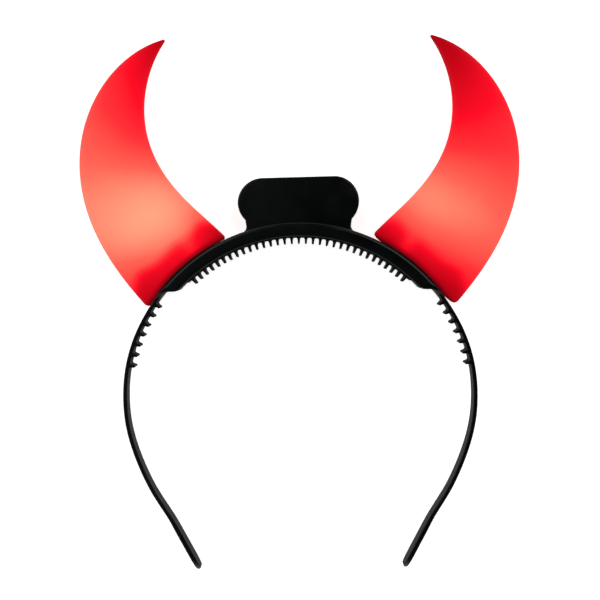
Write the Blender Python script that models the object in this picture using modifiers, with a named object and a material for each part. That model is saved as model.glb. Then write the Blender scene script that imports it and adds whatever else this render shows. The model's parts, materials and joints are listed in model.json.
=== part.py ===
"""Devil horns headband: a black comb headband with two hollow, lit, translucent horns.

The band is drawn in the XY plane with its arc's centre at the frame empty, +Y toward
the crown of the head and +Z toward the front. At the end the empty lays the whole
object on its back on the ground, as it comes to rest by itself. Metres, +Z up.
"""

import math

import bmesh
import bpy
from mathutils import Vector

MM = 0.001
GAP = 0.3 * MM                # clearance between pieces that touch

# Band: a springy arc with a foot at each end
BAND_RADIUS = 67.5 * MM       # outer face
BAND_THICKNESS = 1.6 * MM
BAND_WIDTH = 10.0 * MM        # front to back, just below the housing
ARM_SPREAD = 0.4 * MM         # the arms stand out by this much at the ears
SPREAD_START = 52.0           # degrees from the crown
SPREAD_END = 98.0
ARM_TUCK = 0.7 * MM           # and draw in by this much below them
TUCK_START = 92.0             # degrees from the crown
TUCK_END = 134.0
FOOT_ANGLE = 130.0            # degrees from the crown, where the foot turns out
FOOT_BEND = 2.0               # degrees of the arc that the bend takes
FOOT_TURN = 11.5              # degrees that the foot turns outward
FOOT_LENGTH = 24.8 * MM
FOOT_THICKNESS = 1.85 * MM
FOOT_THICKENING = 8.7 * MM    # length over which the arm grows to that
FOOT_WIDTH = 9.6 * MM

# Teeth moulded inside the arms
SIDE_TEETH = 7
SIDE_TEETH_START = 56.3       # degrees from the crown
SIDE_TEETH_END = 78.2
SIDE_TOOTH_LENGTH = 2.0 * MM
SIDE_TOOTH_ROOT = 1.35 * MM
SIDE_TOOTH_TIP = 0.8 * MM
SIDE_TEETH_MARGIN = 2.2       # degrees from the last tooth to where the arm runs plain
TOOTH_FLARE = 0.2             # share of its root that a tooth spreads on each side
TOOTH_FLARE_HEIGHT = 1.3      # height of that flare, as a share of its spread

# Housing: the deep channel over the crown that the horns stand on
HOUSING_DEPTH = 13.0 * MM     # front to back
HOUSING_HEIGHT = 5.2 * MM     # inner face to outer face
HOUSING_ANGLE = 46.6          # degrees from the crown to its inner end corner
HOUSING_END_DROP = 1.2 * MM   # the end face lies this far below that corner
HOUSING_HOLLOW = 0.9 * MM     # height of the hollow corner between that face and the arm
CHANNEL_WIDTH = 10.6 * MM
CHANNEL_ANGLE = 43.6          # degrees
CHANNEL_ROOF = 1.9 * MM       # wall left between the channel and the outer face

# Comb strip: closes the channel and carries the top teeth
STRIP_THICKNESS = 1.5 * MM
STRIP_PROUD = 0.55 * MM       # stands this far out of the channel's mouth
TOP_TEETH_EACH_SIDE = 16      # and one in the middle
TOP_TEETH_PITCH = 2.58        # degrees
TOP_TOOTH_LENGTH = 2.4 * MM
TOP_TOOTH_ROOT = 1.1 * MM
TOP_TOOTH_TIP = 0.7 * MM

# Paddle: a bare upright tab on the crown
PADDLE_WIDTH = 46.6 * MM
PADDLE_TOP = 17.55 * MM       # above the housing's outer face
PADDLE_SLANT = 0.8 * MM       # its right end stands this much higher than its left
PADDLE_LOBE = 9.5 * MM        # radius of its round ends
PADDLE_LOBE_END = 0.94        # share of the lobe's arc kept before the neck
PADDLE_NECK = 40.2 * MM
PADDLE_THICKNESS = 2.8 * MM
NECK_FILLET = 2.4 * MM

# Horns: hollow shells seated across the housing's ends
HORN_ANGLE = 41.1             # degrees from the crown to the middle of the base
HORN_BASE = 40.2 * MM         # chord across the base
HORN_HEIGHT = 75.8 * MM       # tip above that chord
HORN_SEAT_DEPTH = 12.0 * MM   # front to back at the base
HORN_BELLY_DEPTH = 18.0 * MM  # front to back at the thickest place
HORN_TIP_DEPTH = 1.8 * MM     # front to back at the tip
HORN_BELLY_AT = 0.36          # share of the way up where the belly is reached
HORN_TAPER = 2.2              # the higher, the later the horn thins toward its tip
HORN_WALL = 1.4 * MM
HORN_CORNER = 1.8 * MM        # rounding of the base's rim
HORN_SINK = 0.12 * MM         # how far the chord's ends stand off the seat
HORN_LIFT = {"left": 0.0, "right": 1.0 * MM}    # the right horn sits a little proud
HORN_SPREAD = {"left": 0.0, "right": 1.1 * MM}  # and is this much wider at its outer foot

# Plug and lamp inside each horn
PLUG_PLATE = 4.0 * MM
PLUG_ANGLE = 12.6             # degrees each side of the horn's middle
PLUG_BOSS_ANGLE = 3.6         # degrees that each end boss takes
PLUG_INNER_BOSS = 7.6 * MM    # height of the boss nearer the crown
PLUG_OUTER_BOSS = 9.6 * MM
LAMP_RADIUS = 2.5 * MM
LAMP_FLANGE = 2.9 * MM
LAMP_FLANGE_HEIGHT = 1.0 * MM
LAMP_LENGTH = 8.6 * MM

# Rounding of the housing's inner end corner. Columns: across and down, as shares of the
# end face's drop.
END_ROUNDING = ((0.9, 0.65), (1.8, 1.0))

# The horn's two edges as Bezier curves in its own plane. Columns: across, as a share
# of the base's chord from its middle, outward positive; up, as a share of the height.
HORN_OUTER_EDGE = ((0.515, 0.00), (0.518, 0.42), (0.413, 0.864), (-0.582, 1.14), (-1.29, 0.970))
HORN_INNER_EDGE = ((-0.495, 0.00), (-0.47, 0.28), (-0.227, 0.60), (-0.792, 0.882), (-1.292, 0.949))

ARC_STEP = 2.6                # degrees between points of a plain arc
HORN_SIDES = 24
HORN_STATIONS = 18
HOLLOW_STATIONS = 9
SEAT_STEP = 3.0               # degrees between points of the arc that cuts the horn's seat
SEAT_SQUARENESS = 3.0         # superellipse power of the horn's section at its base
TIP_SQUARENESS = 2.1
CAVITY_END = 0.80             # share of the way up where the hollow stops

HALF_TURN = 180.0
QUARTER_TURN = 90.0

BAND_INNER = BAND_RADIUS - BAND_THICKNESS
HOUSING_INNER = BAND_RADIUS - HOUSING_HEIGHT
SEAT_RADIUS = BAND_RADIUS + GAP


def clear_scene():
    """Remove every object, so that the script starts from nothing."""
    for item in list(bpy.data.objects):
        bpy.data.objects.remove(item)


def make_collection(name):
    """Add a collection to the scene."""
    collection = bpy.data.collections.new(name)
    bpy.context.scene.collection.children.link(collection)
    return collection


def make_material(name, colour, roughness, metallic=0.0):
    """Principled material with one flat colour."""
    material = bpy.data.materials.new(name)
    material.use_nodes = True
    shader = material.node_tree.nodes["Principled BSDF"]
    shader.inputs["Base Color"].default_value = (*colour, 1.0)
    shader.inputs["Roughness"].default_value = roughness
    shader.inputs["Metallic"].default_value = metallic
    return material


def polar(radius, degrees):
    """Point at an angle from the crown, positive toward +X."""
    angle = math.radians(degrees)
    return Vector((radius * math.sin(angle), radius * math.cos(angle)))


def along(degrees):
    """Unit direction of rising angle at a place on the arc."""
    angle = math.radians(degrees)
    return Vector((math.cos(angle), -math.sin(angle)))


def arc(radius, start, end, step=ARC_STEP):
    """Points of an arc about the centre, both ends included."""
    count = max(1, math.ceil(abs(end - start) / step))
    return [polar(radius, start + (end - start) * i / count) for i in range(count + 1)]


def fillet(centre, radius, start, end, count):
    """Points of a small arc about any centre, angles counted as in polar."""
    return [centre + polar(radius, start + (end - start) * i / count) for i in range(count + 1)]


def tooth(root_radius, length, root, tip, degrees):
    """Points of a tooth that aims at the arc's centre, in order of rising angle."""
    radial = polar(1.0, degrees)
    side = along(degrees)
    flare = TOOTH_FLARE * root
    rise = TOOTH_FLARE_HEIGHT * flare
    shape = [(-root / 2 - flare, 0.0), (-root / 2, rise)]
    for i in range(5):
        turn = math.radians(-90.0 + 45.0 * i)
        shape.append((tip / 2 * math.sin(turn), length - tip / 2 * (1.0 - math.cos(turn))))
    shape += [(root / 2, rise), (root / 2 + flare, 0.0)]
    return [radial * (root_radius - down) + side * across for across, down in shape]


def mirrored_outline(half):
    """Close a half outline, whose two ends lie on X = 0, with its mirror image."""
    return half + [Vector((-point.x, point.y)) for point in reversed(half[1:-1])]


def new_object(name, mesh, collection, frame, material=None):
    """Object that hangs on the frame empty."""
    item = bpy.data.objects.new(name, mesh)
    collection.objects.link(item)
    item.parent = frame
    if material:
        item.data.materials.append(material)
    return item


def hide_cutter(item):
    """Keep a cutter out of renders and show it as wire."""
    item.hide_render = True
    item.display_type = "WIRE"


def extruded(name, outline, depth, collection, frame, material=None):
    """Flat outline in XY given a depth along Z, as a closed mesh."""
    curve = bpy.data.curves.new(name, "CURVE")
    curve.dimensions = "2D"
    curve.fill_mode = "BOTH"
    curve.extrude = depth / 2
    spline = curve.splines.new("POLY")
    spline.points.add(len(outline) - 1)
    for slot, point in zip(spline.points, outline):
        slot.co = (point.x, point.y, 0.0, 1.0)
    spline.use_cyclic_u = True
    drawing = bpy.data.objects.new(name + "_outline", curve)
    collection.objects.link(drawing)
    bpy.context.view_layer.update()
    evaluated = drawing.evaluated_get(bpy.context.evaluated_depsgraph_get())
    mesh = bpy.data.meshes.new_from_object(evaluated)
    weld(mesh)
    bpy.data.objects.remove(drawing)
    return new_object(name, mesh, collection, frame, material)


def weld(mesh):
    """Join the loose caps to the walls and turn every face outward."""
    work = bmesh.new()
    work.from_mesh(mesh)
    bmesh.ops.remove_doubles(work, verts=work.verts, dist=0.001 * MM)
    bmesh.ops.recalc_face_normals(work, faces=work.faces)
    work.to_mesh(mesh)
    work.free()


def combine(item, other, operation):
    """Boolean modifier that joins, cuts or trims an object by another."""
    modifier = item.modifiers.new(other.name, "BOOLEAN")
    modifier.operation = operation
    modifier.object = other
    modifier.solver = "EXACT"


def hump(degrees, start, end):
    """Smooth rise and fall between two angles, 1 in the middle."""
    share = min(1.0, max(0.0, (degrees - start) / (end - start)))
    return math.sin(math.pi * share) ** 2


def arm_point(radius, degrees):
    """Point of the arm's face: it stands out at the ears and draws in below them."""
    spread = ARM_SPREAD * hump(degrees, SPREAD_START, SPREAD_END)
    tuck = ARM_TUCK * hump(degrees, TUCK_START, TUCK_END)
    return polar(radius + spread - tuck, degrees)


def arm_arc(radius, start, end):
    """Points of the arm's face between two angles."""
    count = max(1, math.ceil((end - start) / ARC_STEP))
    return [arm_point(radius, start + (end - start) * i / count) for i in range(count + 1)]


def housing_end():
    """Points of the housing's inner end: a round corner, a flat end and a hollow into the arm."""
    corner = polar(HOUSING_INNER, HOUSING_ANGLE)
    floor = corner.y - HOUSING_END_DROP
    points = [corner]
    for across, down in END_ROUNDING:
        points.append(Vector((corner.x + across * HOUSING_END_DROP, corner.y - down * HOUSING_END_DROP)))
    flat_end = math.sqrt(BAND_INNER ** 2 - floor ** 2) - HOUSING_HOLLOW
    arm_start = math.degrees(math.acos((floor - HOUSING_HOLLOW) / BAND_INNER))
    return points + [Vector((flat_end, floor)), polar(BAND_INNER, arm_start)]


def foot_edges():
    """Outer edge, round end and inner edge of the right foot, in that order."""
    start = arm_point(BAND_RADIUS - BAND_THICKNESS / 2, FOOT_ANGLE)
    facing = FOOT_ANGLE - FOOT_TURN
    forward = along(facing)
    thick = polar(FOOT_THICKNESS / 2, facing)
    grown = start + forward * FOOT_THICKENING
    last = start + forward * (FOOT_LENGTH - FOOT_THICKNESS / 2)
    end = fillet(last, FOOT_THICKNESS / 2, facing, facing + HALF_TURN, 6)
    return [grown + thick] + end + [grown - thick]


def headband_outline():
    """Front outline of the housing and both arms with their teeth."""
    outer = arc(BAND_RADIUS, 0.0, SPREAD_START)
    outer += arm_arc(BAND_RADIUS, SPREAD_START, FOOT_ANGLE - FOOT_BEND)[1:]
    inner = arc(HOUSING_INNER, 0.0, HOUSING_ANGLE)[:-1] + housing_end()
    pitch = (SIDE_TEETH_END - SIDE_TEETH_START) / (SIDE_TEETH - 1)
    for i in range(SIDE_TEETH):
        degrees = SIDE_TEETH_START + i * pitch
        inner += tooth(arm_point(BAND_INNER, degrees).length, SIDE_TOOTH_LENGTH, SIDE_TOOTH_ROOT,
                       SIDE_TOOTH_TIP, degrees)
    inner += arm_arc(BAND_INNER, SIDE_TEETH_END + SIDE_TEETH_MARGIN, FOOT_ANGLE - FOOT_BEND)
    return mirrored_outline(outer + foot_edges() + inner[::-1])


def side_profile():
    """Outline of the headband seen from the side: X along the height, Y front to back."""
    step_top = polar(HOUSING_INNER, HOUSING_ANGLE).y - HOUSING_END_DROP
    foot = polar(BAND_RADIUS, FOOT_ANGLE).y
    facing = math.radians(FOOT_ANGLE - FOOT_TURN)
    end = foot - FOOT_LENGTH * math.sin(facing)
    round_centre = Vector((end + FOOT_WIDTH / 2, 0.0))
    half = [
        Vector((BAND_RADIUS + HOUSING_DEPTH, HOUSING_DEPTH / 2)),
        Vector((step_top, HOUSING_DEPTH / 2)),
        Vector((step_top - (HOUSING_DEPTH - BAND_WIDTH), BAND_WIDTH / 2)),
    ]
    half += fillet(round_centre, FOOT_WIDTH / 2, 0.0, -80.0, 6)
    return half + [Vector((point.x, -point.y)) for point in reversed(half)]


def stand_on_side(mesh):
    """Turn a flat drawing so that its X runs along +Y and its Y along +Z."""
    for vertex in mesh.vertices:
        x, y, z = vertex.co
        vertex.co = (z, x, y)


def paddle_outline():
    """Bare tab with round ends on a neck whose foot is sunk in the housing's roof."""
    top = BAND_RADIUS + PADDLE_TOP
    lobe = Vector((PADDLE_WIDTH / 2 - PADDLE_LOBE, top - PADDLE_LOBE))
    neck = PADDLE_NECK / 2
    meeting = math.acos(min(1.0, (neck - lobe.x) / PADDLE_LOBE))
    lobe_end = QUARTER_TURN + PADDLE_LOBE_END * math.degrees(meeting)
    half = [Vector((0.0, top))] + fillet(lobe, PADDLE_LOBE, 0.0, lobe_end, 10)
    centre_x = neck + NECK_FILLET
    centre_y = math.sqrt((BAND_RADIUS + NECK_FILLET) ** 2 - centre_x ** 2)
    touch = math.degrees(math.atan2(centre_x, centre_y))
    half += fillet(Vector((centre_x, centre_y)), NECK_FILLET, -QUARTER_TURN, touch - HALF_TURN, 4)
    outline = mirrored_outline(half + arc(BAND_RADIUS - CHANNEL_ROOF / 2, touch, 0.0))
    for point in outline:
        height = max(0.0, point.y - BAND_RADIUS)
        point.y += PADDLE_SLANT * point.x / PADDLE_WIDTH * height / PADDLE_TOP
    return outline


def ring_outline(inner, outer, start, end):
    """Flat sector of a ring."""
    return arc(outer, start, end) + arc(inner, end, start)


def comb_outline():
    """Strip with its row of teeth on the head side."""
    top = HOUSING_INNER - STRIP_PROUD + STRIP_THICKNESS
    under = HOUSING_INNER - STRIP_PROUD
    reach = CHANNEL_ANGLE - math.degrees(GAP / under)
    teeth = []
    for i in range(-TOP_TEETH_EACH_SIDE, TOP_TEETH_EACH_SIDE + 1):
        teeth += tooth(under, TOP_TOOTH_LENGTH, TOP_TOOTH_ROOT, TOP_TOOTH_TIP, i * TOP_TEETH_PITCH)
    return [polar(under, -reach)] + teeth + [polar(under, reach)] + arc(top, reach, -reach)


def bezier(points, share):
    """Point of a Bezier curve, by drawing in its control points one row at a time."""
    row = [Vector(point) for point in points]
    while len(row) > 1:
        row = [before.lerp(after, share) for before, after in zip(row, row[1:])]
    return row[0]


def horn_half_depth(share):
    """Half of the horn's front-to-back depth: it swells to the belly and thins to the tip."""
    swell = math.sin(math.pi / 2 * min(1.0, share / HORN_BELLY_AT))
    depth = HORN_SEAT_DEPTH + (HORN_BELLY_DEPTH - HORN_SEAT_DEPTH) * swell
    lost = 1.0 - (HORN_TIP_DEPTH / HORN_BELLY_DEPTH) ** 2
    return depth / 2 * math.sqrt(1.0 - lost * share ** HORN_TAPER)


def horn_station(side, share):
    """Middle, across and up directions and half width of the horn at a share of its way."""
    radial = polar(1.0, HORN_ANGLE)
    outward = along(HORN_ANGLE)
    ends = []
    for edge in (HORN_OUTER_EDGE, HORN_INNER_EDGE):
        across, up = bezier(edge, share)
        ends.append(outward * across * HORN_BASE + radial * up * HORN_HEIGHT)
    ends[0] += outward * HORN_SPREAD[side] * (1.0 - share)
    middle = (ends[0] + ends[1]) / 2
    span = ends[0] - ends[1]
    across = span.normalized()
    up = Vector((-across.y, across.x))
    seat = math.sqrt(SEAT_RADIUS ** 2 - (HORN_BASE / 2) ** 2) + HORN_SINK + HORN_LIFT[side]
    return middle + radial * seat, across, up, span.length / 2


def section_ring(middle, across, half_width, half_depth, power, sides):
    """Superellipse round a middle point, one axis across and the other along Z."""
    ring = []
    for i in range(sides):
        turn = 2 * math.pi * (i + 0.5) / sides
        cosine, sine = math.cos(turn), math.sin(turn)
        wide = math.copysign(abs(cosine) ** (2 / power), cosine) * half_width
        deep = math.copysign(abs(sine) ** (2 / power), sine) * half_depth
        spot = middle + across * wide
        ring.append(Vector((spot.x, spot.y, deep)))
    return ring


def loft(name, rings, side, collection, frame, material=None):
    """Closed skin through rings of equal length, mirrored to its side."""
    work = bmesh.new()
    flip = -1.0 if side == "left" else 1.0
    rows = [[work.verts.new((flip * point.x, point.y, point.z)) for point in ring] for ring in rings]
    count = len(rows[0])
    for low, high in zip(rows, rows[1:]):
        for i in range(count):
            j = (i + 1) % count
            work.faces.new((low[i], low[j], high[j], high[i]))
    work.faces.new(rows[0])
    work.faces.new(rows[-1])
    bmesh.ops.recalc_face_normals(work, faces=work.faces)
    mesh = bpy.data.meshes.new(name)
    work.to_mesh(mesh)
    work.free()
    return new_object(name, mesh, collection, frame, material)


def horn_outside(side):
    """Rings of the horn's outer skin, from its rounded rim to its rounded tip."""
    rings = []
    for i in range(HORN_STATIONS + 1):
        share = i / HORN_STATIONS
        middle, across, up, half = horn_station(side, share)
        deep = horn_half_depth(share)
        power = SEAT_SQUARENESS + (TIP_SQUARENESS - SEAT_SQUARENESS) * share
        if i == 0:
            for turn in (0.0, 45.0):
                tuck = HORN_CORNER * (1.0 - math.sin(math.radians(turn)))
                rise = HORN_CORNER * (1.0 - math.cos(math.radians(turn)))
                rings.append(section_ring(middle + up * rise, across, half - tuck, deep - tuck,
                                          power, HORN_SIDES))
            middle = middle + up * HORN_CORNER
        rings.append(section_ring(middle, across, half, deep, power, HORN_SIDES))
    for turn in (30.0, 60.0, 82.0):
        shrink = math.cos(math.radians(turn))
        reach = half * math.sin(math.radians(turn))
        rings.append(section_ring(middle + up * reach, across, half * shrink, deep * shrink,
                                  power, HORN_SIDES))
    return rings


def horn_inside(side, inset):
    """Rings of the hollow, or of what fits in it, open past the rim."""
    rings = []
    for i in range(HOLLOW_STATIONS + 1):
        share = CAVITY_END * i / HOLLOW_STATIONS
        middle, across, up, half = horn_station(side, share)
        deep = horn_half_depth(share)
        power = SEAT_SQUARENESS + (TIP_SQUARENESS - SEAT_SQUARENESS) * share
        if i == 0:
            below = middle - up * 3 * HORN_WALL
            rings.append(section_ring(below, across, half - inset, deep - inset, power, HORN_SIDES))
        rings.append(section_ring(middle, across, half - inset, deep - inset, power, HORN_SIDES))
    return rings


def plug_outline(side):
    """Curved plate across the horn's base with a boss near each end."""
    start = HORN_ANGLE - PLUG_ANGLE
    end = HORN_ANGLE + PLUG_ANGLE
    plate = SEAT_RADIUS + PLUG_PLATE
    inner_boss = SEAT_RADIUS + PLUG_INNER_BOSS
    outer_boss = SEAT_RADIUS + PLUG_OUTER_BOSS
    points = arc(inner_boss, start, start + PLUG_BOSS_ANGLE)
    points += arc(plate, start + PLUG_BOSS_ANGLE, end - PLUG_BOSS_ANGLE)
    points += arc(outer_boss, end - PLUG_BOSS_ANGLE, end)
    points += arc(SEAT_RADIUS, end, start)
    flip = -1.0 if side == "left" else 1.0
    return [Vector((flip * point.x, point.y)) for point in points]


def make_lamp(side, collection, frame, material):
    """Round-nosed lamp on a flange, turned from its profile."""
    body = LAMP_LENGTH - LAMP_RADIUS
    profile = []
    for i in range(5):
        turn = math.radians(90.0 - 22.5 * i)
        profile.append((LAMP_RADIUS * math.cos(turn), body + LAMP_RADIUS * math.sin(turn)))
    profile[0] = (0.0, LAMP_LENGTH)
    profile += [(LAMP_RADIUS, LAMP_FLANGE_HEIGHT), (LAMP_FLANGE, LAMP_FLANGE_HEIGHT),
                (LAMP_FLANGE, 0.0), (0.0, 0.0)]
    mesh = bpy.data.meshes.new("lamp_" + side)
    edges = [(i, i + 1) for i in range(len(profile) - 1)]
    mesh.from_pydata([(x, 0.0, z) for x, z in profile], edges, [])
    lamp = new_object("lamp_" + side, mesh, collection, frame, material)
    turned = lamp.modifiers.new("turned", "SCREW")
    turned.axis = "Z"
    turned.steps = 16
    turned.render_steps = 16
    turned.use_merge_vertices = True
    turned.merge_threshold = 0.00001
    flip = -1.0 if side == "left" else 1.0
    radial = polar(1.0, HORN_ANGLE)
    direction = Vector((flip * radial.x, radial.y, 0.0))
    lamp.location = direction * (SEAT_RADIUS + PLUG_PLATE + GAP)
    lamp.rotation_euler = direction.to_track_quat("Z", "Y").to_euler()
    return lamp


def make_headband(parts, cutters, frame, plastic):
    """Arms, side teeth, housing and paddle as one moulding."""
    headband = extruded("headband", headband_outline(), HOUSING_DEPTH + 2 * MM, parts, frame, plastic)
    profile = extruded("side_profile", side_profile(), 4 * BAND_RADIUS, cutters, frame)
    stand_on_side(profile.data)
    channel_roof = BAND_RADIUS - CHANNEL_ROOF
    channel_mouth = HOUSING_INNER - HOUSING_HEIGHT
    channel = extruded("channel", ring_outline(channel_mouth, channel_roof, -CHANNEL_ANGLE, CHANNEL_ANGLE),
                       CHANNEL_WIDTH, cutters, frame)
    paddle = extruded("paddle", paddle_outline(), PADDLE_THICKNESS, cutters, frame)
    combine(headband, profile, "INTERSECT")
    combine(headband, channel, "DIFFERENCE")
    combine(headband, paddle, "UNION")
    for cutter in (profile, channel, paddle):
        hide_cutter(cutter)
    return headband


def make_comb(parts, frame, plastic):
    """Strip in the channel's mouth with the top teeth on it."""
    width = CHANNEL_WIDTH - 2 * GAP
    return extruded("comb_strip", comb_outline(), width, parts, frame, plastic)


def make_horn(side, parts, cutters, frame, shell_material):
    """Hollow horn, open at its base, which is cut to sit on the housing."""
    horn = loft("horn_" + side, horn_outside(side), side, parts, frame, shell_material)
    hollow = loft("hollow_" + side, horn_inside(side, HORN_WALL), side, cutters, frame)
    circle = arc(SEAT_RADIUS, 0.0, 2 * HALF_TURN - SEAT_STEP, SEAT_STEP)
    seat = extruded("seat_" + side, circle, 4 * HORN_BELLY_DEPTH, cutters, frame)
    combine(horn, seat, "DIFFERENCE")
    combine(horn, hollow, "DIFFERENCE")
    hide_cutter(hollow)
    hide_cutter(seat)
    return horn


def make_plug(side, parts, cutters, frame, plastic):
    """Plate that closes the horn's base and carries the lamp."""
    plug = extruded("horn_plug_" + side, plug_outline(side), HORN_BELLY_DEPTH, parts, frame, plastic)
    room = loft("plug_room_" + side, horn_inside(side, HORN_WALL + GAP), side, cutters, frame)
    combine(plug, room, "INTERSECT")
    hide_cutter(room)
    return plug


def lower_hull(points):
    """Lower side of the convex hull of points given as (y, z), in order of y."""
    hull = []
    for point in sorted(points):
        while len(hull) > 1:
            (y0, z0), (y1, z1) = hull[-2:]
            if (y1 - y0) * (point[1] - z0) > (z1 - z0) * (point[0] - y0):
                break
            hull.pop()
        hull.append(point)
    return hull


def world_points(items):
    """Every vertex of the finished pieces in world space."""
    bpy.context.view_layer.update()
    graph = bpy.context.evaluated_depsgraph_get()
    points = []
    for item in items:
        evaluated = item.evaluated_get(graph)
        mesh = evaluated.to_mesh()
        points += [evaluated.matrix_world @ vertex.co for vertex in mesh.vertices]
        evaluated.to_mesh_clear()
    return points


def lay_down(frame, parts):
    """Rest the object on its back on the ground, the middle of its box over the origin."""
    points = world_points(parts.objects)
    hull = lower_hull({(point.y, point.z) for point in points})
    middle = (hull[0][0] + hull[-1][0]) / 2
    edge = [pair for pair in zip(hull, hull[1:]) if pair[0][0] <= middle <= pair[1][0]][0]
    (y0, z0), (y1, z1) = edge
    frame.rotation_euler.x = -math.atan2(z1 - z0, y1 - y0)
    points = world_points(parts.objects)
    for axis in range(2):
        values = [point[axis] for point in points]
        frame.location[axis] = -(min(values) + max(values)) / 2
    frame.location.z = -min(point.z for point in points)
    bpy.context.view_layer.update()


def main():
    """Build the headband and lay it on the ground."""
    clear_scene()
    parts = make_collection("devil_horns_headband")
    cutters = make_collection("cutters")
    frame = bpy.data.objects.new("arc_centre", None)
    parts.objects.link(frame)
    black = make_material("black moulded plastic", (0.006, 0.007, 0.007), 0.32)
    red = make_material("translucent red plastic", (0.62, 0.0, 0.02), 0.28)
    clear = make_material("lamp resin", (0.9, 0.45, 0.4), 0.15)
    make_headband(parts, cutters, frame, black)
    make_comb(parts, frame, black)
    for side in ("left", "right"):
        make_horn(side, parts, cutters, frame, red)
        make_plug(side, parts, cutters, frame, black)
        make_lamp(side, parts, frame, clear)
    parts.objects.unlink(frame)
    cutters.objects.link(frame)
    lay_down(frame, parts)


main()
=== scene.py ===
"""Devil horns headband: the looks of a black comb headband with two lit, hollow horns.

Shapes are worked out in the band's own plane, with the arc's centre at its origin, +Y
toward the crown and +Z toward the front, and are then laid where the record's tab_front
mount says that plane lies. Lengths are in metres.
"""

import json
import math

import bmesh
import bpy
import numpy as np
from mathutils import Matrix, Vector


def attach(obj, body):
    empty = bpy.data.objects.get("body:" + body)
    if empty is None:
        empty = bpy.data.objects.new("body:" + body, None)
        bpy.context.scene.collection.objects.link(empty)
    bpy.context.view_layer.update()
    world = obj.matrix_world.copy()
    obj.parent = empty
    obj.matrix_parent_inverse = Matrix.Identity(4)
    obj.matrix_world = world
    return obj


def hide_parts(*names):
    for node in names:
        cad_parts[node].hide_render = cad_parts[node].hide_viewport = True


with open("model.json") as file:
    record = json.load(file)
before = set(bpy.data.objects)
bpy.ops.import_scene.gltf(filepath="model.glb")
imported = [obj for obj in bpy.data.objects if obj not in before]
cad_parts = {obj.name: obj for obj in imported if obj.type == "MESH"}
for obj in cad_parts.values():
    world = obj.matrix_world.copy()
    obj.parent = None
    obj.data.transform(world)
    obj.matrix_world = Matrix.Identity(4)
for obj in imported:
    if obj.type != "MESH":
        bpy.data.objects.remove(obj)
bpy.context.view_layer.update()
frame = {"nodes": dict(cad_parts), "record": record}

bl_info = {
    "name": "Devil Horns Headband",
    "version": (1, 0, 0),
    "blender": (4, 5, 0),
    "location": "View3D > Sidebar > Headband",
    "description": "Builds a comb headband with two glowing horns round its solid model",
    "category": "Add Mesh",
}

MM = 0.001
MERGE = 0.002 * MM            # points closer than this are one point
SIDES = {"left": -1.0, "right": 1.0}
TAB_MOUNT_DROP = 8.0 * MM     # the mount's point lies this far below the tab's top edge

# The horn's two edges as Bezier curves in its own plane: a least-squares fit to points
# traced on the left horn's outline in the photo, rounded. Columns: across, as a share of
# the base's chord from its middle, outward positive; up, as a share of the height.
HORN_OUTER_EDGE = ((0.515, 0.00), (0.518, 0.42), (0.413, 0.864), (-0.582, 1.14), (-1.29, 0.970))
HORN_INNER_EDGE = ((-0.495, 0.00), (-0.47, 0.28), (-0.227, 0.60), (-0.792, 0.882), (-1.292, 0.949))

# Coefficients of each horn's glow: a least-squares fit to the photo's colours, rounded,
# with the middle and the number added everywhere then moved. They aren't a lamp's
# place or power. Columns: middle of the patch across and up from the middle of the base's
# chord in mm, its half length and half width in mm, its turn in degrees, how fast it
# fades, what is added to it everywhere, and the light's slope across and up, per 100 mm.
# The patch is the lamp's light, painted into the horn's emission.
LAMP_PATCH = {
    "left": (-9.9, 20.5, 46.7, 36.1, 23.8, 2.0, -0.07, 0.925, 1.11),
    "right": (-21.3, 20.4, 63.9, 32.8, 9.3, 1.66, -0.235, 0.67, 0.89),
}

# Coefficients of the darker band over each plug, from the same fit, with the right one's
# fade above it then moved. Columns: the share of light left in it, the height in mm
# above the seat where it ends, how far below and above that it fades, and how much more
# light shows at the plug's slot.
# The darker band is painted shade: the plug's shadow on the horn's glow.
PLUG_SHADE = {
    "left": (0.587, 6.85, 2.25, 3.3, 0.165),
    "right": (0.72, 9.2, 4.4, 0.8, 0.3),
}

# Bosses of the plug, whose shadow is painted on the horn's lower edge. Columns: degrees
# from the crown, half width in degrees, and height in mm that the painted shade reaches
# beyond the plate's own.
PLUG_BOSSES = ((29.5, 2.6, 2.0), (39.0, 2.2, 0.5), (51.5, 3.6, 2.6))
PLUG_SLOT = (35.0, 2.2)       # degrees from the crown, and half width: beside the lamp
SKIN_INSET = 0.1 * MM         # the finer skin stays this far inside the solid horn's faces

END_FACE_CORNER = 1.5 * MM    # blend between the housing's inner face and its end face
ARM_CORNER = 1.3 * MM         # blend between the end face and the arm
PAST_HOUSING = 1.2            # radians from the crown, beyond which there is no end face
HOUSING_AT_LEAST = 2.6 * MM   # thicker than this, the band is housing
EDGE_GROWS = (1.6 * MM, 4.4 * MM)   # thicknesses between which the outer edge's rounding grows
EDGE_SHARE = 0.48             # most of a thickness that one edge's rounding takes
CHANNEL_SHARE = 0.6           # most of a half depth that the channel's fold takes past its end
SIDE_RUN = 0.4 * MM           # the housing's side starts to narrow this far above its end
BEND_REACH = 7                # places each side of the foot's bend that are eased

# The darker rim at each horn's seat is painted shade.
RIM_LIGHT = 0.2               # share of a horn's light left at its seat
RIM_GROWS = (-0.3, 2.4)       # mm above the seat, over which it grows to the whole
HORN_POWERS = (3.0, 2.1)      # the section's power at the seat and at the tip

MOTTLE = {"From Min": 0.3, "From Max": 0.7}    # where most of a noise's values lie

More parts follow.
